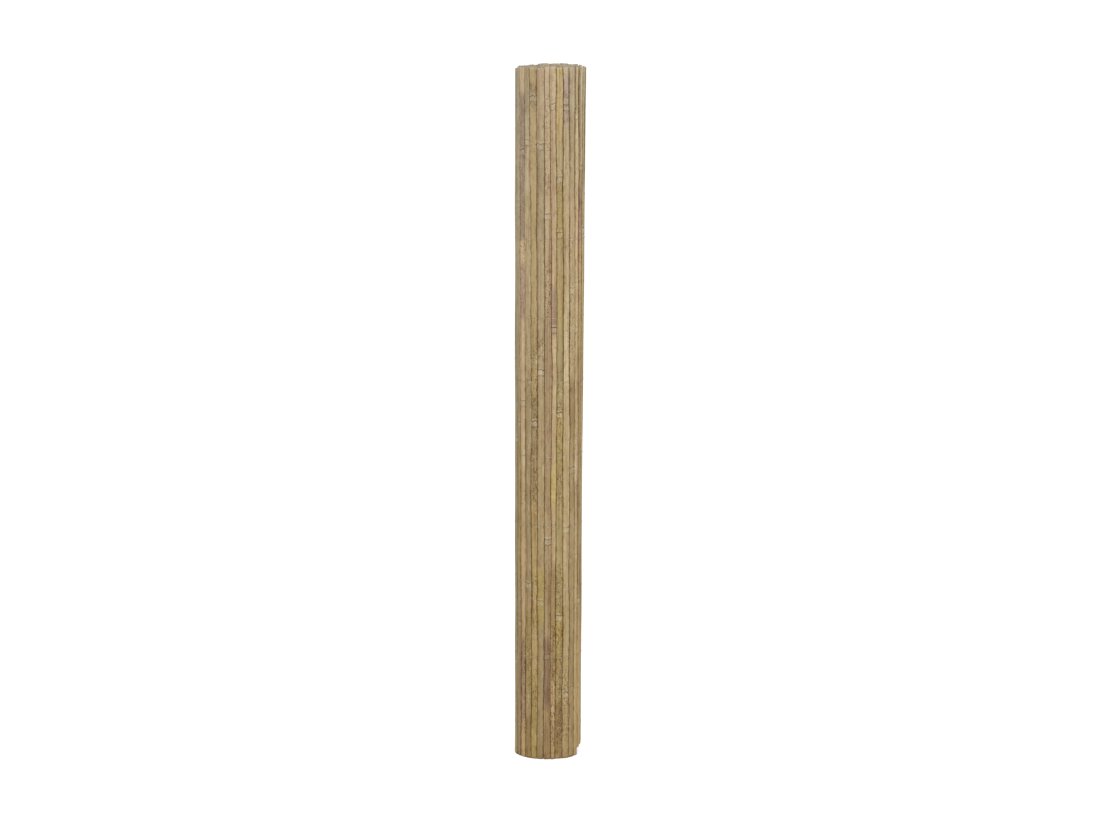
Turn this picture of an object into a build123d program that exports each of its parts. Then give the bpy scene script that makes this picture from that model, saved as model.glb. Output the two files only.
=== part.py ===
"""Bamboo screen, rolled up and standing on its end.

A mat of split bamboo slats, held by ten rows of doubled wire, is rolled into eleven turns.
The two strands of each row change sides in every gap between slats, so one strand lies on the
bark side of a slat while the other lies behind it. The outermost turn is built slat by slat,
with the ring of each bamboo joint and its wires; every inner turn is a group of plain slats.
Millimetres, +Z up, the front of the roll faces -Y, the mat's free end is on the right.
"""
import os
from math import atan, cos, exp, pi, radians, sin
from random import Random

from build123d import *

# the slats
roll_height = 1500.0
slat_width = 13.0
slat_thickness = 3.0
bark_crown = 0.8
bark_shoulder = 3.4
width_scatter = 0.12

# the rings left by the bamboo's joints on the bark side
ring_rise = 0.55
ring_height = 5.0
ring_spacing = 487.0
ring_scatter = 60.0

# the wire rows, counted from the bottom
wire_width = 0.7
wire_clearance = 0.12
strand_offset = 0.5
first_row = 70.0
row_spacing = 149.2
row_shift = (0.0, 6.0, 6.0, -5.0, -2.0, 10.0, -1.0, 17.0, 18.0, 0.0)

# the roll
outer_count = 30
turn_count = 11
turn_slack = 0.2
free_edge_angle = 98.0
free_edge_flare = 11.5
flare_sharpness = 4.5
flare_decay = 3.5
left_foot_flare = 2.4

# ends of the slats
outer_foot_lift = 2.0
inner_foot_lift = 3.0
end_scatter = 2.5
end_margin = 40.0

# widths of the slats seen from the front, from the free end, as parts of slat_width (foot, head)
seen_widths = (
    (1.00, 0.97), (0.95, 1.03), (1.00, 0.89), (0.85, 0.84), (1.11, 1.02), (1.17, 1.09),
    (1.08, 1.03), (0.71, 0.86), (1.02, 0.91), (1.05, 1.11), (0.89, 1.25), (1.15, 1.02),
    (1.06, 1.12), (0.98, 1.00), (1.14, 0.97), (1.14, 0.93),
)
# height of the foot of those slats above the ground, and how far the head stays below the top
seen_feet = (12.0, 9.0, 7.0, 1.5, 0.5, 0.0, 1.0, 0.0, 0.0, 0.5, 0.0, 1.0, 0.0, 2.0, 0.0, 1.0)
seen_drops = (9.0, 5.5, 4.0, 3.5, 4.0, 3.0, 3.5, 2.0, 2.5, 4.5, 4.0, 4.5, 5.0, 12.0, 6.0, 3.0)
# heights of their bamboo joints
seen_rings = (
    (250, 741, 1226), (180, 668, 1152), (349, 833, 1288), (447, 941, 1398),
    (156, 638, 1026), (146, 509, 935, 1416), (317, 760, 1146, 1264), (517, 943, 1419),
    (233, 485, 1187), (350, 852, 1334), (277, 741, 877, 1435), (387, 830, 1342),
    (174, 784, 1114, 1320), (300, 735, 1210), (210, 702, 1180), (398, 871, 1365),
)

slat_gap = wire_width + 2.0 * wire_clearance
turn_pitch = slat_thickness + 2.0 * (wire_width + wire_clearance) + turn_slack
slat_pitch = slat_width + slat_gap
first_radius = outer_count * slat_pitch / (2.0 * pi) + turn_pitch / 2.0
anchor_slat = 8
anchor_angle = radians(free_edge_angle - 4.2)
row_heights = [first_row + k * row_spacing + row_shift[k] for k in range(len(row_shift))]
row_heights = [z for z in row_heights if z < roll_height - end_margin]
golden_part = (5.0 ** 0.5 - 1.0) / 2.0
chance = Random(11)


def foot_radius(wrap):
    """Radius to the back of the mat at the ground, `wrap` being the angle rolled in from the free edge."""
    left = (1.0 + cos(wrap - radians(free_edge_angle + 90.0))) / 2.0
    bulge = left_foot_flare * left ** 6 if wrap < 2.0 * pi else 0.0
    return first_radius - turn_pitch * wrap / (2.0 * pi) + bulge


def head_radius(wrap):
    """The same at the top, where the loose end of the mat springs outwards."""
    near = ((1.0 + cos(wrap)) / 2.0) ** flare_sharpness
    spring = free_edge_flare * near * exp(-max(wrap, 0.0) / flare_decay)
    return first_radius - turn_pitch * wrap / (2.0 * pi) + spring


def half_sector(width, radius):
    """Angle taken up by half a slat and half the gap beside it."""
    return atan((width + slat_gap) / 2.0 / radius)


def wrap_angles(widths, radius_at):
    """Angle of each slat's middle, laid out both ways from the slat beside the anchor angle."""
    angles = [0.0] * len(widths)
    edge = anchor_angle
    for k in range(anchor_slat, len(widths)):
        half = half_sector(widths[k], radius_at(edge))
        angles[k] = edge + half
        edge = angles[k] + half
    edge = anchor_angle
    for k in range(anchor_slat - 1, -1, -1):
        half = half_sector(widths[k], radius_at(edge))
        angles[k] = edge - half
        edge = angles[k] - half
    return angles


def place(wrap, radius):
    """Plan position of a point of the mat."""
    turned = radians(free_edge_angle) - wrap
    return radius * sin(turned), -radius * cos(turned)


class Slat:
    """Plan of one slat at its foot and its head, and where it starts and ends."""

    def __init__(self, foot_wrap, head_wrap, foot_width, head_width, foot_z, head_z, rings):
        self.foot = place(foot_wrap, foot_radius(foot_wrap) + slat_thickness / 2.0)
        self.head = place(head_wrap, head_radius(head_wrap) + slat_thickness / 2.0)
        self.turned = radians(free_edge_angle) - (foot_wrap + head_wrap) / 2.0
        self.widths = foot_width, head_width
        self.foot_z = foot_z
        self.head_z = head_z
        self.rings = rings

    def point(self, across, out, z):
        """A point `across` the slat (1 is its edge towards the free end) and `out` from its middle."""
        part = z / roll_height
        width = self.widths[0] + (self.widths[1] - self.widths[0]) * part
        x = self.foot[0] + (self.head[0] - self.foot[0]) * part
        y = self.foot[1] + (self.head[1] - self.foot[1]) * part
        side = across * width / 2.0
        return (x + side * cos(self.turned) + out * sin(self.turned),
                y + side * sin(self.turned) - out * cos(self.turned))

    def beside(self, spot, out, z):
        """The point `out` from the slat's middle that lies square across from a spot in plan."""
        x, y = self.point(0.0, 0.0, z)
        side = (spot[0] - x) * cos(self.turned) + (spot[1] - y) * sin(self.turned)
        return (x + side * cos(self.turned) + out * sin(self.turned),
                y + side * sin(self.turned) - out * cos(self.turned))

    def bark_rise(self, z):
        """How far the bark side stands out: it swells up to each ring and drops back above it."""
        low = self.foot_z
        for ring in self.rings:
            if z <= ring:
                return ring_rise * (z - low) / (ring - low)
            low = ring + ring_height
            if z < low:
                return ring_rise * (low - z) / ring_height
        return 0.0


def scattered(k, start):
    """One of many values spread evenly from 0 to 1, the same for a slat whatever the sizes are."""
    return (start + golden_part * k) % 1.0


def layout():
    """All slats of the mat, outermost first, with the turn that each belongs to."""
    widths = [tuple(slat_width * part for part in pair) for pair in seen_widths]
    limit = 2.0 * pi * turn_count
    wrap = 0.0
    while wrap < limit or len(widths) < outer_count:
        width = slat_width * (1.0 + chance.uniform(-width_scatter, width_scatter))
        widths.append((width, width))
        wrap = wrap_angles([pair[0] for pair in widths], foot_radius)[-1]
    foot_wraps = wrap_angles([pair[0] for pair in widths], foot_radius)
    head_wraps = wrap_angles([pair[1] for pair in widths], head_radius)
    for k in range(len(seen_widths), len(widths)):
        wrap = foot_wraps[k]
        head_wraps[k] = wrap
        widths[k] = (widths[k][0], widths[k][0] * head_radius(wrap) / foot_radius(wrap))
    slats = []
    turns = []
    for k in range(len(widths)):
        foot_z = inner_foot_lift + 2.0 * end_scatter * scattered(k, 0.3)
        drop = 2.0 * end_scatter * scattered(k, 0.7)
        rings = ()
        if k < outer_count:
            foot_z = outer_foot_lift * scattered(k, 0.5)
            start = ring_spacing * (0.25 + 0.6 * scattered(k, 0.1))
            rings = [start + ring_spacing * n + ring_scatter * (scattered(3 * k + n, 0.2) - 0.5)
                     for n in range(3)]
        if k < len(seen_widths):
            foot_z = seen_feet[k]
            drop = seen_drops[k]
            rings = seen_rings[k]
        rings = [z for z in rings if z < roll_height - end_margin]
        slats.append(Slat(foot_wraps[k], head_wraps[k], *widths[k], foot_z, roll_height - drop, rings))
        turns.append(0 if k < outer_count else 1 + int((foot_wraps[k] - foot_wraps[outer_count])
                                                        / (2.0 * pi)))
    lowest = min(slat.foot_z for slat in slats)
    tallest = max(slat.head_z for slat in slats)
    for slat in slats:
        slat.foot_z -= lowest
        slat.head_z += roll_height - tallest
    return slats, turns


def bark_section(slat, z, rise):
    """Outline of an outer slat: flat back, bevelled bark side, raised by `rise` at a ring."""
    back = -slat_thickness / 2.0
    bark = slat_thickness / 2.0
    shoulder = 1.0 - 2.0 * bark_shoulder / slat.widths[0]
    corners = ((-1.0, back), (1.0, back), (1.0, bark - bark_crown + rise / 2.0),
               (shoulder, bark + rise), (-shoulder, bark + rise), (-1.0, bark - bark_crown + rise / 2.0))
    return [slat.point(across, out, z) for across, out in corners]


def plain_section(slat, z):
    """Outline of an inner slat."""
    half = slat_thickness / 2.0
    return [slat.point(across, out, z) for across, out in ((-1, -half), (1, -half), (1, half), (-1, half))]


def lofted(sections):
    """Straight-sided body through outlines at given heights."""
    with BuildPart() as body:
        for outline, z in sections:
            with BuildSketch(Plane.XY.offset(z)):
                Polygon(*outline, align=None)
        loft(ruled=True)
    return body.part


def outer_slat(slat):
    """One slat of the outermost turn."""
    sections = [(bark_section(slat, slat.foot_z, 0.0), slat.foot_z)]
    for z in slat.rings:
        sections.append((bark_section(slat, z, ring_rise), z))
        sections.append((bark_section(slat, z + ring_height, 0.0), z + ring_height))
    sections.append((bark_section(slat, slat.head_z, 0.0), slat.head_z))
    return lofted(sections)


def inner_slat(slat):
    """One slat of an inner turn."""
    return lofted([(plain_section(slat, slat.foot_z), slat.foot_z),
                   (plain_section(slat, slat.head_z), slat.head_z)])


def gap_middle(slats, k, out, z):
    """Plan position of the middle of the gap before slat k, or of the spot beside the mat's last slats."""
    overhang = 1.0 + slat_gap / slat_width
    if k == 0:
        return slats[0].point(overhang, out, z)
    if k == outer_count:
        return slats[k - 1].point(-overhang, out, z)
    a = slats[k - 1].point(-1.0, out, z)
    b = slats[k].point(1.0, out, z)
    return (a[0] + b[0]) / 2.0, (a[1] + b[1]) / 2.0


def strand_corners(slats, z, first_on_bark):
    """Corners of a strand that lies on the bark side of one slat and behind the next, all along the turn."""
    reach = wire_clearance + wire_width / 2.0
    behind = -slat_thickness / 2.0 - reach
    corners = []
    if first_on_bark:
        corners.append(gap_middle(slats, 0, behind, z))
    for k in range(outer_count):
        out = behind
        if (k % 2 == 0) == first_on_bark:
            rise = max(slats[k].bark_rise(z - wire_width), slats[k].bark_rise(z + wire_width))
            out = slat_thickness / 2.0 + rise + reach
        corners.append(slats[k].beside(gap_middle(slats, k, out, z), out, z))
        corners.append(slats[k].beside(gap_middle(slats, k + 1, out, z), out, z))
    return corners


def wire_row(slats, z):
    """The two strands of one row."""
    with BuildPart() as row:
        for first_on_bark, height in ((True, z + strand_offset), (False, z - strand_offset)):
            points = [(x, y, height) for x, y in strand_corners(slats, height, first_on_bark)]
            with BuildLine() as path:
                Polyline(*points)
            with BuildSketch(Plane(origin=path.line @ 0, x_dir=(0, 0, 1), z_dir=path.line % 0)):
                RegularPolygon(wire_width / 3.0 ** 0.5, 3)
            sweep(transition=Transition.RIGHT)
    return row.part


slats, turns = layout()
pieces = []

for k in range(outer_count):
    piece = outer_slat(slats[k])
    piece.label = f"slat_{k + 1:02d}"
    pieces.append(piece)

for turn in range(1, turn_count):
    members = [inner_slat(slats[k]) for k in range(outer_count, len(slats)) if turns[k] == turn]
    with BuildPart() as mat_turn:
        add(members)
    mat_turn.part.label = f"inner_turn_{turn + 1:02d}"
    pieces.append(mat_turn.part)

for k, z in enumerate(row_heights):
    piece = wire_row(slats, z)
    piece.label = f"wire_row_{k + 1:02d}"
    pieces.append(piece)

boxes = [piece.bounding_box() for piece in pieces]
middle_x = (min(box.min.X for box in boxes) + max(box.max.X for box in boxes)) / 2.0
middle_y = (min(box.min.Y for box in boxes) + max(box.max.Y for box in boxes)) / 2.0

os.makedirs("parts", exist_ok=True)
for piece in pieces:
    centred = piece.moved(Location((-middle_x, -middle_y, 0.0)))
    centred.label = piece.label
    export_step(centred, f"parts/{piece.label}.step")
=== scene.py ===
from math import cos, exp, pi, sin
from random import Random

import bpy
import numpy as np
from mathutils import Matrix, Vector, noise

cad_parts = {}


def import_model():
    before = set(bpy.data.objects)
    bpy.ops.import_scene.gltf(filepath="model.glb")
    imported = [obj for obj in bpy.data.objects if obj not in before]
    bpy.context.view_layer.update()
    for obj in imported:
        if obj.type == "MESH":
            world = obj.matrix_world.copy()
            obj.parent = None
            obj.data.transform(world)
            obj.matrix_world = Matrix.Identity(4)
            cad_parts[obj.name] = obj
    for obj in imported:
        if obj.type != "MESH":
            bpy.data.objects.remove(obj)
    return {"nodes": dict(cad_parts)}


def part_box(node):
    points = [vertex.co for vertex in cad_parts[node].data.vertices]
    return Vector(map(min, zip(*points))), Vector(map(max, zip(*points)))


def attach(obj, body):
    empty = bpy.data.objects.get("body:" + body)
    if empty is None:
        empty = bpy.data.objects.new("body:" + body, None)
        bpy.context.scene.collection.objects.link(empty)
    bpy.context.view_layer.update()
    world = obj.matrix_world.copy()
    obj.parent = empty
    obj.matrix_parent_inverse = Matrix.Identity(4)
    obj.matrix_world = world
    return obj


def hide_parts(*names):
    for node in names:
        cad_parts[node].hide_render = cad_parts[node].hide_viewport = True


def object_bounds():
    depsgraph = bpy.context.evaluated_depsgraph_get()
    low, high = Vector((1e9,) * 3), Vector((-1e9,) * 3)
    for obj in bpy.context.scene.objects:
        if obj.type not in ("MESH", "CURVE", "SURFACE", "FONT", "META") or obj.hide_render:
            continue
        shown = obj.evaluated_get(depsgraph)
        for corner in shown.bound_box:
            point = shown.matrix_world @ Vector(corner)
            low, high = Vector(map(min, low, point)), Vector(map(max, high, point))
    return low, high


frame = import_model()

# A rolled-up bamboo screen. Every slat and wire is made again, in finer form, on the plan of its
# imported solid. Lengths are in metres. Slats are numbered from the free end of the mat, at the right.
mm = 0.001
cad_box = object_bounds()
roll_height = cad_box[1].z
outer_slats = 30
seen_slats = 16
same_level = 0.01 * mm
level_digits = 5

# the slats' section and their bamboo joints
slat_thickness = 3.0 * mm
bark_crown = 0.75 * mm
crown_power = 2.3
ring_height = 5.0 * mm
ring_rise = 0.4 * mm
ring_reach = 4.0 * mm
slow_swell = 0.3
quick_swell = 0.7
scar_depth = 0.35 * mm
ring_fade = 0.4
first_ring = 3.0 * ring_height

# smooth waver: how much, a number that sets it apart from the others, and the length of its waves
wavers = {
    "border wander": (2.3 * mm, 0.37, 0.19),
    "border ripple": (1.1 * mm, 7.7, 0.045),
    "sideways": (0.3 * mm, 0.0, 0.21),
    "outwards": (0.9 * mm, 40.0, 0.16),
    "lean": (0.07, 80.0, 0.3),
    "spread": (0.9, 3.3, 0.26),
    "ragged edge": (0.2 * mm, 60.0, 0.035),
    "edge chips": (0.25 * mm, 0.0, 0.009),
    "light": (0.045, 5.0, 0.06),
    "slow light": (0.04, 25.0, 0.5),
    "wire": (0.7 * mm, 0.0, 1.0 / 0.13),
}
# where the lines lie in the noise, and how far apart those of two slats and two wire rows are
line_start = 0.5
line_steps = (7.31, 1.7)
slat_seed = 0.618
wire_seed = 31.0
# the ends waver less, the middle of the roll is turned a little, and the free edge sags in between
end_calm = 6.0
mid_turn = 0.032
free_edge_sag = 1.2 * mm
sag_power = 4
sagging_slats = 6

# how far edges grow into the gaps beside them, away from the wires
edge_spread = 0.3 * mm
free_edge_spread = 0.31 * mm
free_edge_slats = 4
edge_limit = 0.33 * mm
wire_notch = 2.2 * mm
growing_part = 0.5
growth_power = 4

# where the ends stand. Shifts are down (-) or up (+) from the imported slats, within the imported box
full_height = 0.2 * mm
head_drop = 2.4 * mm
head_evened = 0.6
foot_evened = 0.65
high_heads = (1, 2, 3)
head_shifts = {
    1: -5.5 * mm, 2: -2.5 * mm, 14: 4.5 * mm, 15: -3.0 * mm, 16: -6.0 * mm, 17: -7.0 * mm,
    18: -4.5 * mm, 27: -1.5 * mm, 28: -2.0 * mm, 29: -2.0 * mm, 30: -2.0 * mm,
}
left_dip = 3.0 * mm
left_dip_start = -18.0 * mm
left_dip_ramp = 10.0 * mm
full_feet = range(9, 17)
full_foot = 0.1 * mm
foot_shifts = {1: 12.0 * mm, 2: 11.5 * mm, 3: 10.0 * mm}
right_side = 50.0 * mm
right_lift = 10.5 * mm

# how the ends are worn
end_worn = 0.5 * mm
end_shrink = 0.9
end_slant = 0.9 * mm
end_chips = 0.6 * mm
end_reach = 12.0 * mm
end_seed = 3.0
slant_side_place = 0.3
slant_place = 0.8
chip_seed = 9.0
chip_change = 3.0

# steps between the outlines of a slat, and their places in millimetres from ends, wires and joints
outer_step = 7.0 * mm
inner_step = 90.0 * mm
closest_step = 0.35
end_gaps = (3.0, 7.0)
wire_gaps = (-4.5, -2.2, 0.0, 2.2, 4.5)
ring_gaps = (-12.0, -7.0, -4.0, -2.0, 0.0, 1.2, 2.5, 3.8, 5.0, 7.0, 11.0)

# the wire
wire_radius = 0.34 * mm
wire_sides = 8
wire_lift = 0.44 * mm
wire_turns = (0.85 * mm, -1.3 * mm)
wire_stops = (0.98, 0.8, 0.5, 0.2, -0.2, -0.5, -0.8, -0.98)
strand_offset = 0.46 * mm
tail_length = 7.0 * mm
tail_start = 0.9 * mm
tail_depth = -0.4 * mm
tail_steps = 8
tail_twist = 0.9

# the studio
camera_place = (0.0, -7.3, 1.9)
camera_target = (0.0, 0.0, 0.7522)
lens_length = 112.2
sensor_width = 36.0
floor_half = 60.0
floor_albedo = 0.8
floor_glow = 0.5
world_light = 0.725
lamps = (("key", (0.2, -3.6, 2.6), 55.0), ("fill", (2.6, -2.6, 1.6), 18.0))
lamp_size = 2.2
lamp_target = (0.0, 0.0, 0.75)

# the plain colour at head and foot as it shows on a screen, and the tones as parts of it
screen_gamma = 2.2
# the head is lighter and greyer than the foot: partly weathering, partly painted light falling from above
tan_head = (0.692, 0.628, 0.502)
tan_foot = (0.658, 0.567, 0.397)
tones = {
    "tan": (1.00, 1.00, 1.00),
    "straw": (1.02, 1.02, 0.88),
    "olive": (0.98, 0.99, 0.90),
    "honey": (1.03, 1.00, 0.91),
    "rose": (1.01, 0.98, 0.99),
    "plum": (0.88, 0.835, 0.91),
    "violet": (0.81, 0.785, 0.84),
    "lilac": (0.93, 0.92, 1.02),
    "pale": (1.06, 1.07, 1.11),
    "umber": (0.90, 0.87, 0.82),
    "grey": (0.95, 0.98, 1.04),
}
tone_depth = 0.75
tone_change = 18.0 * mm
internode_change = 0.09
most_internodes = 10
middle_light = 0.04
middle_height = 1.04
middle_reach = 0.17
plain_mould = 0.2
# how far the grain of one slat lies from that of the next, so that no two are alike
grain_across = 0.31
grain_deep = 0.07

# tone and lightness of each slat seen from the front
slat_tones = (
    ("olive", 1.03), ("olive", 1.02), ("umber", 1.12), ("tan", 1.11), ("tan", 0.98), ("tan", 1.05),
    ("olive", 0.985), ("rose", 1.05), ("rose", 0.98), ("tan", 0.97), ("honey", 1.01), ("tan", 1.015),
    ("rose", 1.165), ("grey", 1.00), ("olive", 0.98), ("grey", 0.98),
)
# stretches of other tones on those slats: lowest and highest point, tone
stretches = {
    3: ((1.120, 1.240, "plum"), (0.540, 0.700, "umber")),
    4: ((0.600, 0.700, "pale"), (1.080, 1.180, "rose")),
    5: ((0.700, 0.830, "umber"), (1.400, 1.500, "pale")),
    6: ((0.820, 0.920, "pale"), (1.375, 1.480, "lilac"), (0.420, 0.520, "pale")),
    7: ((1.120, 1.245, "straw"), (0.940, 1.060, "straw"), (0.630, 0.760, "straw"),
        (1.475, 1.500, "straw"), (1.340, 1.470, "honey"), (0.250, 0.330, "straw"),
        (0.000, 0.130, "umber")),
    8: ((0.560, 0.640, "straw"), (0.930, 1.030, "plum"), (0.180, 0.420, "umber")),
    9: ((0.120, 0.270, "plum"), (0.560, 0.680, "rose")),
    10: ((1.400, 1.500, "rose"), (0.820, 0.900, "pale"), (0.300, 0.420, "straw")),
    11: ((1.420, 1.460, "umber"), (0.000, 0.180, "olive"), (0.560, 0.800, "umber")),
    12: ((0.150, 0.320, "olive"), (0.000, 0.090, "umber"), (1.230, 1.400, "pale")),
    13: ((1.130, 1.440, "violet"), (0.960, 1.080, "plum"), (0.640, 0.720, "pale"),
         (0.080, 0.260, "plum")),
    14: ((0.400, 0.700, "olive"),),
}
# mouldy stretches on those slats: lowest and highest point, how much
mouldy = {
    3: ((0.930, 1.240, 0.5),),
    4: ((0.560, 0.720, 0.4), (0.300, 0.340, 0.7)),
    5: ((0.840, 1.050, 0.4), (0.880, 0.930, 0.8)),
    6: ((0.040, 0.210, 0.7), (1.375, 1.450, 0.8)),
    7: ((0.020, 0.430, 1.0), (0.550, 0.860, 0.6), (1.100, 1.290, 0.5)),
    8: ((0.030, 0.300, 0.8),),
    9: ((0.960, 1.090, 0.6), (1.230, 1.440, 0.5), (1.400, 1.440, 0.8)),
    10: ((0.880, 0.920, 0.9),),
    11: ((0.560, 0.900, 0.9), (0.280, 0.420, 0.6), (1.420, 1.465, 1.0), (1.320, 1.350, 0.9),
         (0.100, 0.200, 0.8)),
    12: ((0.100, 0.330, 0.5), (0.760, 0.900, 0.5)),
    13: ((0.960, 1.430, 0.5), (0.050, 0.280, 0.7), (0.540, 0.600, 0.7)),
}
# what the other slats draw from
other_tones = ("tan", "tan", "tan", "rose", "olive", "honey", "umber", "grey", "plum", "pale")
other_light = (0.97, 1.05)
other_stretches = 4
stretch_start = (0.0, 1.4)
stretch_length = (0.06, 0.25)
mould_start = (0.0, 1.0)
mould_stop = (1.0, 1.5)
mould_amount = (0.0, 0.7)

# noise in the bark: waves in a metre across, deep and along the slat, detail, roughness
patterns = {
    "fibres": ((1700.0, 1700.0, 12.0), 4.0, 0.6),
    "streaks": ((430.0, 430.0, 3.0), 3.0, 0.55),
    "clouds": ((80.0, 80.0, 22.0), 4.0, 0.65),
    "mottles": ((230.0, 230.0, 85.0), 4.0, 0.7),
    "halves": ((150.0, 150.0, 2.2), 2.0, 0.55),
    "cracks": ((620.0, 620.0, 5.0), 2.0, 0.55),
    "stains": ((110.0, 110.0, 55.0), 5.0, 0.7),
    "mould": ((60.0, 60.0, 12.0), 2.0, 0.55),
    "ring wander": ((200.0, 200.0, 20.0), 3.0, 0.55),
    "ring strength": ((30.0, 30.0, 6.0), 1.0, 0.55),
    "ring breaks": ((340.0, 340.0, 120.0), 4.0, 0.75),
    "wood": ((300.0, 300.0, 300.0), 3.0, 0.55),
}
speck_cells = (270.0, 270.0, 190.0)
glint_cells = (230.0, 230.0, 141.1)
bundle_cells = (1100.0, 1100.0, 1.0)
# layers over the plain tone: kind, noise, where it starts to show and is full, how much, tone
bark_layers = (
    ("MULTIPLY", "halves", 0.5, 0.68, 0.8, (0.80, 0.74, 0.68)),
    ("MULTIPLY", "cracks", 0.6, 0.74, 0.8, (0.56, 0.47, 0.36)),
    ("MULTIPLY", "streaks", 0.45, 0.72, 0.8, (0.78, 0.71, 0.62)),
    ("MULTIPLY", "fibres", 0.5, 0.8, 0.7, (0.72, 0.65, 0.56)),
    ("SCREEN", "fibres", 0.5, 0.2, 0.2, (0.60, 0.56, 0.46)),
    ("MULTIPLY", "clouds", 0.5, 0.72, 0.85, (0.80, 0.71, 0.72)),
    ("SCREEN", "clouds", 0.47, 0.25, 0.22, (0.56, 0.50, 0.34)),
    ("MULTIPLY", "stains", 0.54, 0.7, 0.75, (0.76, 0.64, 0.54)),
)
# bands at a joint: kind, name, heights over its line in millimetres between which the band comes in
# from below and from above, how much, tone
ring_wander = 12.0 * mm
joint_bands = (
    ("MIX", "wax", (-11.0, -8.0), (0.5, -1.0), 0.6, (0.56, 0.49, 0.36)),
    ("MIX", "rim", (2.2, 3.6), (7.5, 4.5), 0.6, (0.60, 0.52, 0.37)),
    ("MULTIPLY", "seam", (-13.5, -11.8), (-9.8, -11.0), 0.75, (0.40, 0.31, 0.21)),
    ("MULTIPLY", "scar", (-0.6, 0.6), (3.0, 1.7), 1.0, (0.33, 0.25, 0.16)),
)
# how other marks follow a value: where they start to show, where they are full, and how much they show
# at either end, which is 0 and 1 where it isn't given
fades = {
    "end face": (0.75, 0.9),
    "mould marks": (0.48, 0.64),
    "mould share": (0.0, 1.0, 0.2, 0.9),
    "mould place": (0.55, 1.2),
    "specks": (0.36, 0.14),
    "glints": (0.22, 0.08),
    "ring breaks": (0.4, 0.58, 0.1, 1.0),
    "ring strength": (0.35, 0.62, 0.35, 1.0),
    "creep across": (0.45, 0.95),
    "creep marks": (0.48, 0.58),
    "side shade patches": (0.35, 0.6, 0.3, 1.0),
    # painted shade on the back and sides inside the roll, eased within 30 mm of the head
    "inside": (0.5, 0.1),
    "inside shade below the head": (2.0 * mm, 30.0 * mm, 0.1, 0.8),
    "soil height": (26.0 * mm, 2.0 * mm, 0.0, 0.4),
    "soil marks": (0.4, 0.6),
    # painted contact shadow along the foot
    "foot shadow line": (5.0 * mm, 1.5 * mm, 0.0, 0.85),
    "wood": (0.35, 0.7, 0.0, 0.8),
    "bundles": (0.35, 0.12),
    "bundle crowd": (-1.0, 1.0, 0.25, 0.9),
    "bark line": (0.8, 1.0, 0.0, 0.3),
    "roughness": (0.4, 1.0, 0.5, 0.72),
    "wire patches": (0.5, 0.6),
    "wire spots": (0.62, 0.75, 0.0, 0.7),
    "wire roughness": (0.3, 0.8, 0.5, 0.75),
}
# how far across the slat the painted shade of its sides starts and is full
side_reach = (0.84, 1.0)
# how far below the head the top is lightened, partly by bleaching and partly as painted light where the
# turns shade each other
bleach_and_light_reach = (9.0 * mm, 1.0 * mm)
glint_share = 0.8
creep_share = 0.5
fibre_roughness = 0.4
inside_roughness = 0.2
relief_shares = (("fibres", 0.6), ("streaks", 0.8), ("mottles", 0.3), ("scar", -0.8), ("specks", -0.1))
bamboo_bump = (0.6, 0.5 * mm)
mould_tone = (0.62, 0.53, 0.40)
speck_tone = (0.36, 0.28, 0.19)
glint_tone = (0.66, 0.59, 0.42)
creep_tone = (0.55, 0.45, 0.33)
# painted shade on the slats' sides, beside the gaps
side_shade_tone = (0.52, 0.42, 0.30)
# painted shade on the back of the slats, inside the roll
inside_shade_tone = (0.66, 0.56, 0.42)
# bleaching and painted light at the head
bleach_and_light_tone = (0.50, 0.50, 0.48)
# soil, and the painted contact shadow along the foot
soil_and_shadow_tone = (0.56, 0.46, 0.34)
wood_tone = (0.68, 0.63, 0.49)
wood_shade = (0.78, 0.74, 0.66)
bundle_tone = (0.60, 0.50, 0.37)
bark_line_tone = (0.66, 0.60, 0.46)
bamboo_specular = 0.18

# the wire's dull and bright patches and dark spots, and their noise in the same form as the bark's
wire_dull = (0.33, 0.26, 0.16)
wire_bright = (0.68, 0.60, 0.44)
wire_spot = (0.24, 0.15, 0.09)
wire_patches = ((110.0, 110.0, 110.0), 4.0, 0.65)
wire_spots = ((900.0, 900.0, 900.0), 3.0, 0.7)
wire_specular = 0.3
wire_bump = (0.35, 0.15 * mm)


def wave(seed, place, length):
    """Smooth noise from -1 to 1 along a line."""
    x, y = line_start + line_steps[0] * seed, line_steps[1] * seed
    return noise.noise(Vector((x, y, place / length)))


def waver(kind, seed, place):
    """One of the smooth wavers at a place."""
    amount, apart, length = wavers[kind]
    return amount * wave(seed + apart, place, length)


def clamped(value):
    """The value, kept from 0 to 1."""
    return min(1.0, max(0.0, value))


def section_axes(points):
    """Directions along the long side of a section and away from the roll's axis."""
    middle = points.mean(axis=0)
    spread = (points - middle).T @ (points - middle)
    along = np.linalg.eigh(spread)[1][:, 1]
    out = np.array((along[1], -along[0]))
    if out @ middle < 0.0:
        along, out = -along, -out
    return along, out


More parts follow.
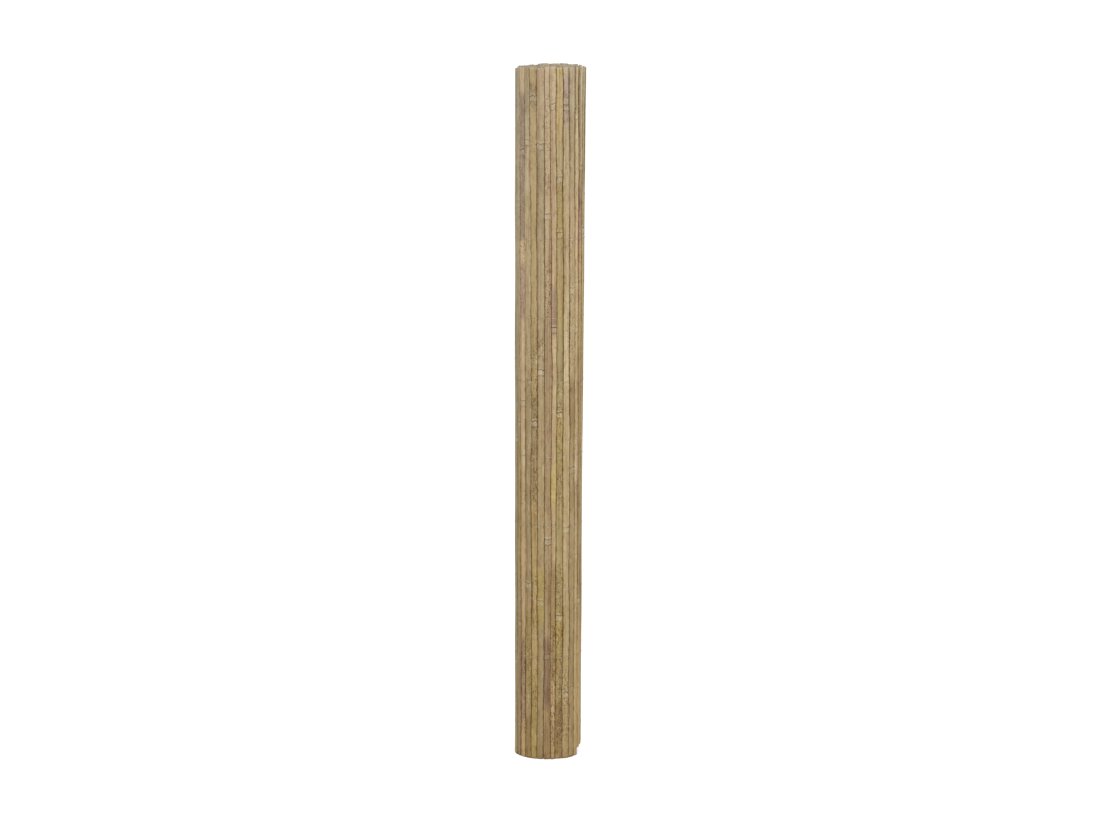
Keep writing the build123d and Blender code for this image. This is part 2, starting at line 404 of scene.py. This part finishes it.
class Slat:
    """Plan of one packed slat: middle and width at its foot and head, its ends, and its bamboo joints."""

    def __init__(self, points, number):
        self.number = number
        self.seed = number * slat_seed
        levels = sorted(set(np.round(points[:, 2], level_digits)))
        foot, head = (points[np.abs(points[:, 2] - level) < same_level][:, :2]
                      for level in (levels[0], levels[-1]))
        self.along, self.out = section_axes(foot)
        self.middles = []
        self.widths = []
        for corners in (foot, head):
            side = corners @ self.along
            deep = corners @ self.out
            self.middles.append((side.min() + side.max()) / 2.0 * self.along
                                + (deep.min() + slat_thickness / 2.0) * self.out)
            self.widths.append(side.max() - side.min())
        self.low = self.foot_height(levels[0])
        self.high = self.head_height(levels[-1])
        self.rings = [z for z in levels[1:-1:2] if z - self.low > first_ring]

    def head_height(self, packed):
        """Height of the head. Behind and inside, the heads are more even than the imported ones."""
        height = packed
        if self.number in high_heads:
            height = roll_height - end_worn
        elif self.number > seen_slats:
            if packed < roll_height - full_height:
                height += head_evened * (roll_height - head_drop - packed)
            height -= left_dip * clamped((left_dip_start - self.middles[1][0]) / left_dip_ramp)
        return height + head_shifts.get(self.number, 0.0)

    def foot_height(self, packed):
        """Height of the foot. Inside, the feet are more even, and behind the free end they are raised."""
        height = packed
        if self.number in full_feet:
            height = full_foot
        elif self.number > outer_slats:
            height -= foot_evened * packed
        if self.number > seen_slats and self.middles[0][0] > right_side:
            height += right_lift
        return height + foot_shifts.get(self.number, 0.0)

    def part(self, z):
        return (z - self.low) / (self.high - self.low)

    def width(self, z):
        return self.widths[0] + (self.widths[1] - self.widths[0]) * self.part(z)

    def border(self, side):
        """Number of the gap beside an edge."""
        return self.number - 1 if side > 0.0 else self.number

    def edge_shift(self, side, z):
        """How far an edge wanders. Slats beside each other share it, so their gap stays."""
        border = self.border(side)
        if not 0 < border < outer_slats:
            return 0.0
        return waver("border wander", border, z) + waver("border ripple", border, z)

    def bark_rise(self, z):
        """How far the bark side stands out from the slat's plain thickness near its bamboo joints."""
        low = self.low
        for ring in self.rings:
            if z <= ring:
                near = (ring - z) / ring_reach
                swell = slow_swell * (z - low) / (ring - low) + quick_swell * exp(-near * near)
                return ring_rise * swell
            low = ring + ring_height
            if z < low:
                part = (z - ring) / ring_height
                return ring_rise * (1.0 - part) - scar_depth * sin(pi * part)
        return 0.0

    def point(self, across, out, z):
        """A point `across` the slat, from -1 to 1, and `out` from its middle, with the slat's waver."""
        middle = self.middles[0] + (self.middles[1] - self.middles[0]) * self.part(z)
        height = z / roll_height
        bow = sin(pi * height)
        between_ends = min(1.0, end_calm * height * (1.0 - height))
        deep = between_ends * waver("outwards", self.seed, z)
        if self.number <= sagging_slats:
            deep -= free_edge_sag * bow * max(0.0, self.out[0]) ** sag_power
        offset = across * self.width(z) / 2.0
        lean = waver("lean", self.seed, z)
        if self.number <= outer_slats:
            offset += (1.0 + across) / 2.0 * self.edge_shift(1.0, z)
            offset += (1.0 - across) / 2.0 * self.edge_shift(-1.0, z)
        side = offset + waver("sideways", self.seed, z)
        x, y = middle + side * self.along + (out + deep + lean * offset) * self.out
        turned = mid_turn * bow
        return np.array((x * cos(turned) - y * sin(turned), x * sin(turned) + y * cos(turned), z))

    def ring_distance(self, z):
        """Distance above the nearest bamboo joint, or a metre where the slat has none."""
        return min((z - ring for ring in self.rings), key=abs, default=1.0)


def node_points(name):
    """Corners of a CAD node."""
    mesh = frame["nodes"][name].data
    points = np.empty(len(mesh.vertices) * 3)
    mesh.vertices.foreach_get("co", points)
    return points.reshape(-1, 3)


def solids_of(name):
    """Corners of each separate solid in a CAD node."""
    mesh = frame["nodes"][name].data
    keys = [tuple(spot) for spot in np.round(node_points(name), level_digits)]
    leader = {key: key for key in keys}

    def find(key):
        while leader[key] != key:
            leader[key] = leader[leader[key]]
            key = leader[key]
        return key

    for edge in mesh.edges:
        a, b = find(keys[edge.vertices[0]]), find(keys[edge.vertices[1]])
        leader[a] = b
    groups = {}
    for key in leader:
        groups.setdefault(find(key), []).append(key)
    return [np.array(groups[key]) for key in sorted(groups)]


# what each point of a slat's mesh tells its material
point_values = (
    ("grain", "FLOAT_VECTOR", "vector"),
    ("face", "FLOAT_VECTOR", "vector"),
    ("ring", "FLOAT", "value"),
    ("tip", "FLOAT", "value"),
    ("tint", "FLOAT_COLOR", "color"),
)


class Shape:
    """Vertices, faces and attributes of a mesh as it is made."""

    def __init__(self):
        self.points = []
        self.faces = []
        self.smooth = []
        self.values = {name: [] for name, kind, field in point_values}

    def add_rows(self, first, rows, count):
        """Adds the faces between rows of an outline and a flat cap at each end."""
        for row in range(rows - 1):
            a = first + row * count
            for k in range(count):
                n = (k + 1) % count
                self.faces.append((a + k, a + count + k, a + count + n, a + n))
                self.smooth.append(True)
        last = first + (rows - 1) * count
        self.faces.append(tuple(range(first, first + count)))
        self.faces.append(tuple(range(last + count - 1, last - 1, -1)))
        self.smooth += [False, False]

    def build(self, name, material, nodes):
        mesh = bpy.data.meshes.new(name)
        mesh.from_pydata(self.points, [], self.faces)
        mesh.polygons.foreach_set("use_smooth", self.smooth)
        for value, kind, field in point_values:
            if self.values[value]:
                layer = mesh.attributes.new(value, kind, "POINT")
                layer.data.foreach_set(field, np.array(self.values[value], float).ravel())
        mesh.materials.append(material)
        mesh.validate()
        piece = bpy.data.objects.new(name, mesh)
        bpy.context.scene.collection.objects.link(piece)
        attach(piece, "root")
        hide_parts(*nodes)
        return piece


# outline of a slat: across, share of the half thickness outwards, or None on the bark, and how much it
# is bark
fine_outline = (
    (-0.93, -1.0, 0), (0.0, -1.0, 0), (0.93, -1.0, 0), (1.0, -0.8, 0), (1.0, 0.05, 0),
    (0.97, None, 0.5), (0.88, None, 1), (0.7, None, 1), (0.47, None, 1), (0.23, None, 1), (0.0, None, 1),
    (-0.23, None, 1), (-0.47, None, 1), (-0.7, None, 1), (-0.88, None, 1), (-0.97, None, 0.5),
    (-1.0, 0.05, 0), (-1.0, -0.8, 0),
)
plain_outline = (
    (-0.93, -1.0, 0), (0.93, -1.0, 0), (1.0, -0.7, 0), (1.0, 0.3, 0), (0.85, None, 1), (0.4, None, 1),
    (-0.4, None, 1), (-0.85, None, 1), (-1.0, 0.3, 0), (-1.0, -0.7, 0),
)


def bark_surface(across):
    """Height of the rounded bark side over the slat's middle."""
    return slat_thickness / 2.0 - bark_crown * abs(across) ** crown_power


def stations(slat, step):
    """Heights at which a slat's outline is set, close together at its joints and ends."""
    heights = [slat.low, slat.low + end_worn, slat.high - end_worn, slat.high]
    heights += [slat.low + gap * mm for gap in end_gaps]
    heights += [slat.high - gap * mm for gap in end_gaps]
    if step < inner_step:
        heights += [row + gap * mm for row in row_heights for gap in wire_gaps]
    heights += [ring + gap * mm for ring in slat.rings for gap in ring_gaps]
    count = int((slat.high - slat.low) / step)
    for k in range(1, count):
        z = slat.low + (slat.high - slat.low) * k / count
        if all(abs(z - other) > closest_step * step for other in heights):
            heights.append(z)
    return sorted(set(z for z in heights if slat.low <= z <= slat.high))


def end_shift(slat, across, out, z):
    """How far a point near an end moves inwards, because the ends are cut unevenly and chipped."""
    shift = 0.0
    for end, inward in ((slat.low, 1.0), (slat.high, -1.0)):
        near = 1.0 - abs(z - end) / end_reach
        if near > 0.0:
            seed = slat.seed * end_seed + inward
            higher_side = 1.0 if wave(seed, slant_side_place, 1.0) > 0.0 else -1.0
            slant = end_slant * (1.0 + across * higher_side) * abs(wave(seed, slant_place, 1.0))
            spot = across * chip_change + out / slat_thickness
            chips = end_chips * abs(wave(seed + chip_seed, spot, 1.0))
            shift += inward * near * (slant + chips)
    return shift


def within(z, low, high):
    """1 inside a stretch of a slat and 0 outside it, with a soft change."""
    return clamped(min(z - low, high - z) / tone_change + 0.5)


def look_of(slat):
    """A slat's own tone and lightness, its stretches of other tones and its mouldy stretches."""
    if slat.number <= seen_slats:
        tone, light = slat_tones[slat.number - 1]
        return tones[tone], light, stretches.get(slat.number, ()), mouldy.get(slat.number, ())
    pick = Random(slat.number)
    own = tones[pick.choice(other_tones)]
    light = pick.uniform(*other_light)
    marks = [(pick.uniform(*mould_start), pick.uniform(*mould_stop), pick.uniform(*mould_amount))]
    spots = []
    for _ in range(other_stretches):
        low = pick.uniform(*stretch_start)
        spots.append((low, low + pick.uniform(*stretch_length), pick.choice(other_tones)))
    return own, light, spots, marks


def tint_at(slat, look, z):
    """Colour of the bamboo at a height on a slat, with how mouldy it is as a fourth number."""
    own, light, spots, marks = look
    height = z / roll_height
    plain = [low + (high - low) * height for low, high in zip(tan_foot, tan_head)]
    tone = [1.0 + (value - 1.0) * tone_depth for value in own]
    for low, high, other in spots:
        inside = within(z, low, high)
        tone = [value + (goal - value) * inside for value, goal in zip(tone, tones[other])]
    internode = sum(1 for ring in slat.rings if ring < z)
    light += internode_change * (Random(slat.number * most_internodes + internode).random() - 0.5)
    light += middle_light * exp(-((z - middle_height) / middle_reach) ** 2)
    light += waver("light", slat.seed, z) + waver("slow light", slat.seed, z)
    mould = max([plain_mould] + [amount * within(z, low, high) for low, high, amount in marks])
    colour = [max(0.0, value * share * light) ** screen_gamma for value, share in zip(plain, tone)]
    return colour + [mould]


def side_growth(slat, across, z):
    """How far an edge stands out beyond the plain slat, as a share of its half width: ragged, but notched
    at the wires."""
    if abs(across) < growing_part:
        return 0.0
    side = 1.0 if across > 0.0 else -1.0
    border = slat.border(side)
    spread = edge_spread * (1.0 + waver("spread", border, z))
    if border <= free_edge_slats:
        spread = free_edge_spread
    ragged = waver("ragged edge", slat.seed + side, z) + waver("edge chips", slat.seed + side, z)
    near = min(abs(z - row) for row in row_heights) / wire_notch
    grown = min(edge_limit, spread + ragged) * (1.0 - exp(-near * near))
    return side * grown / (slat.width(z) / 2.0) * abs(across) ** growth_power


def add_slat(shape, slat, outline, step):
    """Adds one slat to a mesh, as rows of its outline with a cap at each end."""
    first = len(shape.points)
    heights = stations(slat, step)
    look = look_of(slat)
    for z in heights:
        rise = slat.bark_rise(z)
        worn = end_shrink if z in (heights[0], heights[-1]) else 1.0
        tint = tint_at(slat, look, z)
        for across, share, bark in outline:
            if share is None:
                out = bark_surface(across) + rise * (1.0 - ring_fade * abs(across))
            else:
                out = share * slat_thickness / 2.0
            edge = across + side_growth(slat, across, z)
            spot = slat.point(edge * worn, out * worn, z)
            spot[2] += end_shift(slat, across, out, z)
            shape.points.append(tuple(spot))
            side = across * slat.width(z) / 2.0
            grain = (side + grain_across * slat.number, out + grain_deep * slat.number, z)
            shape.values["grain"].append(grain)
            shape.values["face"].append((across, bark, out / slat_thickness * 2.0))
            shape.values["ring"].append(slat.ring_distance(z))
            shape.values["tip"].append(slat.high - z)
            shape.values["tint"].append(tint)
    shape.add_rows(first, len(heights), len(outline))


def wire_height(base, strand, gap):
    """Height of a strand in one of the gaps: the two strands take turns to be the upper one."""
    upper = 1.0 if (gap + strand) % 2 == 0 else -1.0
    return base + upper * strand_offset + waver("wire", base * wire_seed, gap)


def strand_path(slats, base, strand):
    """Points of one strand: over the bark of one slat, through the gap, behind the next slat."""
    path = []
    for k, slat in enumerate(slats):
        start = wire_height(base, strand, k)
        stop = wire_height(base, strand, k + 1)
        on_bark = (k + strand) % 2 == 0
        for across in wire_stops:
            z = start + (stop - start) * (1.0 - across) / 2.0
            out = -slat_thickness / 2.0 - wire_lift
            if on_bark:
                out = bark_surface(across) + slat.bark_rise(z) + wire_lift
            path.append(slat.point(across, out, z))
        if k + 1 < len(slats):
            for out in (wire_turns if on_bark else wire_turns[::-1]):
                path.append((slat.point(-1.0, out, stop) + slats[k + 1].point(1.0, out, stop)) / 2.0)
    return path


def tail_path(slat, base, strand):
    """Points of a strand's twisted tail, from the mat's free edge outwards."""
    half_width = slat.width(base) / 2.0
    path = []
    for k in range(tail_steps + 1):
        turn = pi * (strand + tail_twist * k)
        reach = 1.0 + (tail_start + tail_length * k / tail_steps) / half_width
        out = tail_depth + strand_offset * cos(turn)
        path.append(slat.point(reach, out, base + strand_offset * sin(turn)))
    return path


def add_tube(shape, path):
    """Adds a round wire along a path, with closed ends."""
    path = [Vector(spot) for spot in path]
    first = len(shape.points)
    for k, spot in enumerate(path):
        ahead = (path[min(k + 1, len(path) - 1)] - path[max(k - 1, 0)]).normalized()
        across = ahead.cross(Vector((0.0, 0.0, 1.0))).normalized()
        up = across.cross(ahead)
        for n in range(wire_sides):
            turn = 2.0 * pi * n / wire_sides
            shape.points.append(tuple(spot + wire_radius * (cos(turn) * across + sin(turn) * up)))
    shape.add_rows(first, len(path), wire_sides)


def wire_piece(slats, name, base, material):
    """One row of doubled wire, with its twisted tails at the free end of the mat."""
    shape = Shape()
    for strand in (0, 1):
        add_tube(shape, tail_path(slats[0], base, strand)[::-1] + strand_path(slats, base, strand))
    return shape.build(name.replace("row", "pair"), material, [name])


class Nodes:
    """Short calls for making the nodes of a material or of the world."""

    def __init__(self, owner):
        owner.use_nodes = True
        self.owner = owner
        self.tree = owner.node_tree
        self.shader = self.tree.nodes.get("Principled BSDF")

    def link(self, a, b):
        self.tree.links.new(a, b)

    def put(self, socket, value):
        """Links a socket to another, or sets it to a number or a colour."""
        if isinstance(value, bpy.types.NodeSocket):
            self.link(value, socket)
        else:
            socket.default_value = (*value, 1.0) if isinstance(value, tuple) else value

    def attribute(self, name, output):
        node = self.tree.nodes.new("ShaderNodeAttribute")
        node.attribute_name = name
        return node.outputs[output]

    def split(self, vector):
        node = self.tree.nodes.new("ShaderNodeSeparateXYZ")
        self.link(vector, node.inputs[0])
        return node.outputs

    def math(self, operation, a, b=0.0, clamp=False):
        node = self.tree.nodes.new("ShaderNodeMath")
        node.operation = operation
        node.use_clamp = clamp
        self.put(node.inputs[0], a)
        self.put(node.inputs[1], b)
        return node.outputs[0]

    def times(self, *values):
        """Product of two or more values."""
        product = values[0]
        for value in values[1:]:
            product = self.math("MULTIPLY", product, value)
        return product

    def stretch(self, vector, scale):
        node = self.tree.nodes.new("ShaderNodeVectorMath")
        node.operation = "MULTIPLY"
        self.link(vector, node.inputs[0])
        node.inputs[1].default_value = scale
        return node.outputs[0]

    def noise(self, vector, scale, detail, rough):
        node = self.tree.nodes.new("ShaderNodeTexNoise")
        node.inputs["Scale"].default_value = 1.0
        node.inputs["Detail"].default_value = detail
        node.inputs["Roughness"].default_value = rough
        self.link(self.stretch(vector, scale), node.inputs["Vector"])
        return node.outputs["Fac"]

    def cells(self, vector, scale):
        node = self.tree.nodes.new("ShaderNodeTexVoronoi")
        node.inputs["Scale"].default_value = 1.0
        self.link(self.stretch(vector, scale), node.inputs["Vector"])
        return node.outputs["Distance"]

    def range(self, value, low, high, start=0.0, stop=1.0):
        """`start` where the value is `low`, `stop` where it is `high`, and a soft change between."""
        node = self.tree.nodes.new("ShaderNodeMapRange")
        node.interpolation_type = "SMOOTHSTEP"
        self.link(value, node.inputs["Value"])
        node.inputs["From Min"].default_value = low
        node.inputs["From Max"].default_value = high
        node.inputs["To Min"].default_value = start
        node.inputs["To Max"].default_value = stop
        return node.outputs["Result"]

    def fade(self, value, kind):
        """How far one of the marks shows."""
        return self.range(value, *fades[kind])

    def mix(self, kind, part, a, b):
        node = self.tree.nodes.new("ShaderNodeMix")
        node.data_type = "RGBA"
        node.blend_type = kind
        self.put(node.inputs[0], part)
        self.put(node.inputs[6], a)
        self.put(node.inputs[7], b)
        return node.outputs[2]

    def bump(self, height, strength, distance):
        node = self.tree.nodes.new("ShaderNodeBump")
        node.inputs["Strength"].default_value = strength
        node.inputs["Distance"].default_value = distance
        self.link(height, node.inputs["Height"])
        self.link(node.outputs[0], self.shader.inputs["Normal"])


def bamboo(name, side_shade, bleach_and_light):
    """Split bamboo: waxy bark with fibres, joints, mould specks and weathered edges, with painted shade
    on its sides and back and painted light at its head.
    """
    n = Nodes(bpy.data.materials.new(name))
    grain = n.attribute("grain", "Vector")
    across, bark, deep = n.split(n.attribute("face", "Vector"))
    ring = n.attribute("ring", "Fac")
    tip = n.attribute("tip", "Fac")
    colour = n.attribute("tint", "Color")
    mould = n.attribute("tint", "Alpha")
    upright = n.split(n.tree.nodes.new("ShaderNodeNewGeometry").outputs["Normal"])[2]
    end = n.fade(n.math("ABSOLUTE", upright), "end face")
    noises = {kind: n.noise(grain, *pattern) for kind, pattern in patterns.items()}
    fibres, streaks, mottles = noises["fibres"], noises["streaks"], noises["mottles"]

    for kind, pattern, low, high, share, tone in bark_layers:
        colour = n.mix(kind, n.range(noises[pattern], low, high, 0.0, share), colour, tone)

    # mould: stains, dark specks, and glints where the bark is pitted
    marked = n.times(n.fade(mottles, "mould marks"), n.fade(mould, "mould share"))
    colour = n.mix("MULTIPLY", marked, colour, mould_tone)
    where = n.fade(n.math("ADD", mould, noises["mould"]), "mould place")
    specks = n.times(n.fade(n.cells(grain, speck_cells), "specks"), where)
    colour = n.mix("MULTIPLY", specks, colour, speck_tone)
    glints = n.times(n.fade(n.cells(grain, glint_cells), "glints"), where, glint_share)
    colour = n.mix("MIX", glints, colour, glint_tone)

    # the joints: a waxy pale band below between two lines, and a light rim above
    wander = n.times(n.math("SUBTRACT", noises["ring wander"], 0.5), ring_wander)
    ring = n.math("ADD", ring, wander)
    broken = n.times(*(n.fade(noises[kind], kind) for kind in ("ring breaks", "ring strength")))
    bands = {}
    for kind, band, (below, full), (above, whole), share, tone in joint_bands:
        bands[band] = n.times(n.range(ring, below * mm, full * mm),
                              n.range(ring, above * mm, whole * mm), broken, share)
        colour = n.mix(kind, bands[band], colour, tone)

    # dirt creeps in from the edges in mottled marks, and the sides beside the gaps and the back inside
    # the roll carry painted shade
    aside = n.math("ABSOLUTE", across)
    creep = n.times(n.fade(aside, "creep across"), n.fade(mottles, "creep marks"), creep_share)
    colour = n.mix("MULTIPLY", creep, colour, creep_tone)
    # painted shade on the sides and edges, where the gaps between the slats are in shade
    shaded_sides = n.times(n.range(aside, *side_reach, 0.0, side_shade), n.fade(noises["halves"], "side shade patches"))
    colour = n.mix("MULTIPLY", shaded_sides, colour, side_shade_tone)
    # painted shade on the back and sides inside the roll, weaker near the head where light reaches in
    inside = n.times(n.fade(bark, "inside"), n.math("SUBTRACT", 1.0, end),
                     n.fade(tip, "inside shade below the head"))
    colour = n.mix("MULTIPLY", inside, colour, inside_shade_tone)

    # the top is lighter, partly bleached and partly painted light against the shade between the turns,
    # and the foot is soiled, with a painted contact shadow along its lowest millimetres
    colour = n.mix("SCREEN", n.range(tip, *bleach_and_light_reach, 0.0, bleach_and_light), colour, bleach_and_light_tone)
    height = n.split(grain)[2]
    soil_and_shadow = n.times(n.fade(height, "soil height"), n.fade(mottles, "soil marks"))
    # the lowest few millimetres get a painted contact shadow along a wandering line, on top of the
    # mottled soil
    soil_and_shadow = n.math("MAXIMUM", soil_and_shadow, n.fade(n.math("ADD", height, wander), "foot shadow line"))
    colour = n.mix("MULTIPLY", soil_and_shadow, colour, soil_and_shadow_tone)

    # end grain: pale wood with small dark bundles, closer together beside the bark
    wood = n.mix("MULTIPLY", n.fade(noises["wood"], "wood"), wood_tone, wood_shade)
    flat = n.stretch(grain, (1.0, 1.0, 0.0))
    bundles = n.times(n.fade(n.cells(flat, bundle_cells), "bundles"), n.fade(deep, "bundle crowd"))
    wood = n.mix("MULTIPLY", bundles, wood, bundle_tone)
    wood = n.mix("MULTIPLY", n.fade(deep, "bark line"), wood, bark_line_tone)
    colour = n.mix("MIX", end, colour, wood)
    n.link(colour, n.shader.inputs["Base Color"])

    # streaks and bare wood are duller than the bark, and fibres, joints and specks stand in relief
    rough = n.fade(n.math("ADD", streaks, n.times(fibres, fibre_roughness)), "roughness")
    bare = n.times(n.math("SUBTRACT", 1.0, bark), inside_roughness)
    rough = n.math("ADD", rough, bare, clamp=True)
    n.link(rough, n.shader.inputs["Roughness"])
    n.shader.inputs["Specular IOR Level"].default_value = bamboo_specular
    marks = {**noises, **bands, "specks": specks}
    relief = 0.0
    for mark, share in relief_shares:
        relief = n.math("ADD", relief, n.times(marks[mark], share))
    n.bump(relief, *bamboo_bump)
    return n.owner


def galvanised():
    """Thin zinc-coated wire, dulled and spotted by weather."""
    n = Nodes(bpy.data.materials.new("wire_finish"))
    own_place = n.tree.nodes.new("ShaderNodeTexCoord").outputs["Object"]
    patches = n.noise(own_place, *wire_patches)
    spots = n.noise(own_place, *wire_spots)
    colour = n.mix("MIX", n.fade(patches, "wire patches"), wire_dull, wire_bright)
    colour = n.mix("MIX", n.fade(spots, "wire spots"), colour, wire_spot)
    n.link(colour, n.shader.inputs["Base Color"])
    n.link(n.fade(spots, "wire roughness"), n.shader.inputs["Roughness"])
    n.shader.inputs["Specular IOR Level"].default_value = wire_specular
    n.bump(spots, *wire_bump)
    return n.owner


def white_rays(n):
    """1 for the rays that see the background: from the camera, in a reflection, or through glass."""
    path = n.tree.nodes.new("ShaderNodeLightPath")
    seen = n.math("MAXIMUM", path.outputs["Is Camera Ray"], path.outputs["Is Glossy Ray"])
    return n.math("MAXIMUM", seen, path.outputs["Is Transmission Ray"])


def floor():
    """Plain white floor that keeps a soft shadow."""
    mesh = bpy.data.meshes.new("floor")
    corners = [(x * floor_half, y * floor_half, 0) for x, y in ((-1, -1), (1, -1), (1, 1), (-1, 1))]
    mesh.from_pydata(corners, [], [(0, 1, 2, 3)])
    n = Nodes(bpy.data.materials.new("floor_white"))
    n.shader.inputs["Base Color"].default_value = (floor_albedo, floor_albedo, floor_albedo, 1.0)
    n.shader.inputs["Roughness"].default_value = 1.0
    n.shader.inputs["Specular IOR Level"].default_value = 0.0
    n.shader.inputs["Emission Color"].default_value = (1.0, 1.0, 1.0, 1.0)
    n.link(n.times(white_rays(n), floor_glow), n.shader.inputs["Emission Strength"])
    mesh.materials.append(n.owner)
    piece = bpy.data.objects.new("floor", mesh)
    bpy.context.scene.collection.objects.link(piece)


def world():
    """White for the rays that see the background, and an even plain light for the rest."""
    n = Nodes(bpy.data.worlds.new("studio"))
    back = n.tree.nodes["Background"]
    back.inputs["Color"].default_value = (1.0, 1.0, 1.0, 1.0)
    level = n.tree.nodes.new("ShaderNodeMapRange")
    n.link(white_rays(n), level.inputs["Value"])
    level.inputs["To Min"].default_value = world_light
    level.inputs["To Max"].default_value = 1.0
    n.link(level.outputs["Result"], back.inputs["Strength"])
    bpy.context.scene.world = n.owner


def place(name, data, spot, target):
    """Puts a lamp or camera in the scene, aimed at a target."""
    piece = bpy.data.objects.new(name, data)
    piece.location = spot
    piece.rotation_euler = (Vector(target) - Vector(spot)).to_track_quat("-Z", "Y").to_euler()
    bpy.context.scene.collection.objects.link(piece)
    return piece


def lamp(name, spot, watts):
    """A soft square lamp aimed at the middle of the roll."""
    data = bpy.data.lights.new(name, "AREA")
    data.size = lamp_size
    data.energy = watts
    place(name, data, spot, lamp_target)


def camera():
    """The camera at the photograph's viewing angle."""
    data = bpy.data.cameras.new("camera")
    data.sensor_width = sensor_width
    data.lens = lens_length
    bpy.context.scene.camera = place("camera", data, camera_place, camera_target)


rows = sorted(node for node in frame["nodes"] if node.startswith("wire_row"))
row_heights = [(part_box(name)[0].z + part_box(name)[1].z) / 2.0 for name in rows]

# the first number is the painted shade on the sides, the second the bleaching and painted light at the
# head; the inner turns get more of both
outer_finish = bamboo("bamboo_finish", side_shade=0.4, bleach_and_light=0.12)
inner_finish = bamboo("bamboo_inner_finish", side_shade=0.5, bleach_and_light=0.2)
wire_finish = galvanised()

outer = [Slat(node_points(f"slat_{k:02d}"), k) for k in range(1, outer_slats + 1)]
for slat in outer:
    shape = Shape()
    add_slat(shape, slat, fine_outline, outer_step)
    packed = f"slat_{slat.number:02d}"
    shape.build(f"split_{packed}", outer_finish, [packed])

number = outer_slats
for name in sorted(node for node in frame["nodes"] if node.startswith("inner_turn")):
    shape = Shape()
    for points in solids_of(name):
        number += 1
        add_slat(shape, Slat(points, number), plain_outline, inner_step)
    shape.build(name.replace("inner", "rolled"), inner_finish, [name])

for name, base in zip(rows, row_heights):
    wire_piece(outer, name, base, wire_finish)

floor()
world()
for name, spot, watts in lamps:
    lamp(name, spot, watts)
camera()

bpy.context.scene.view_settings.view_transform = "Standard"
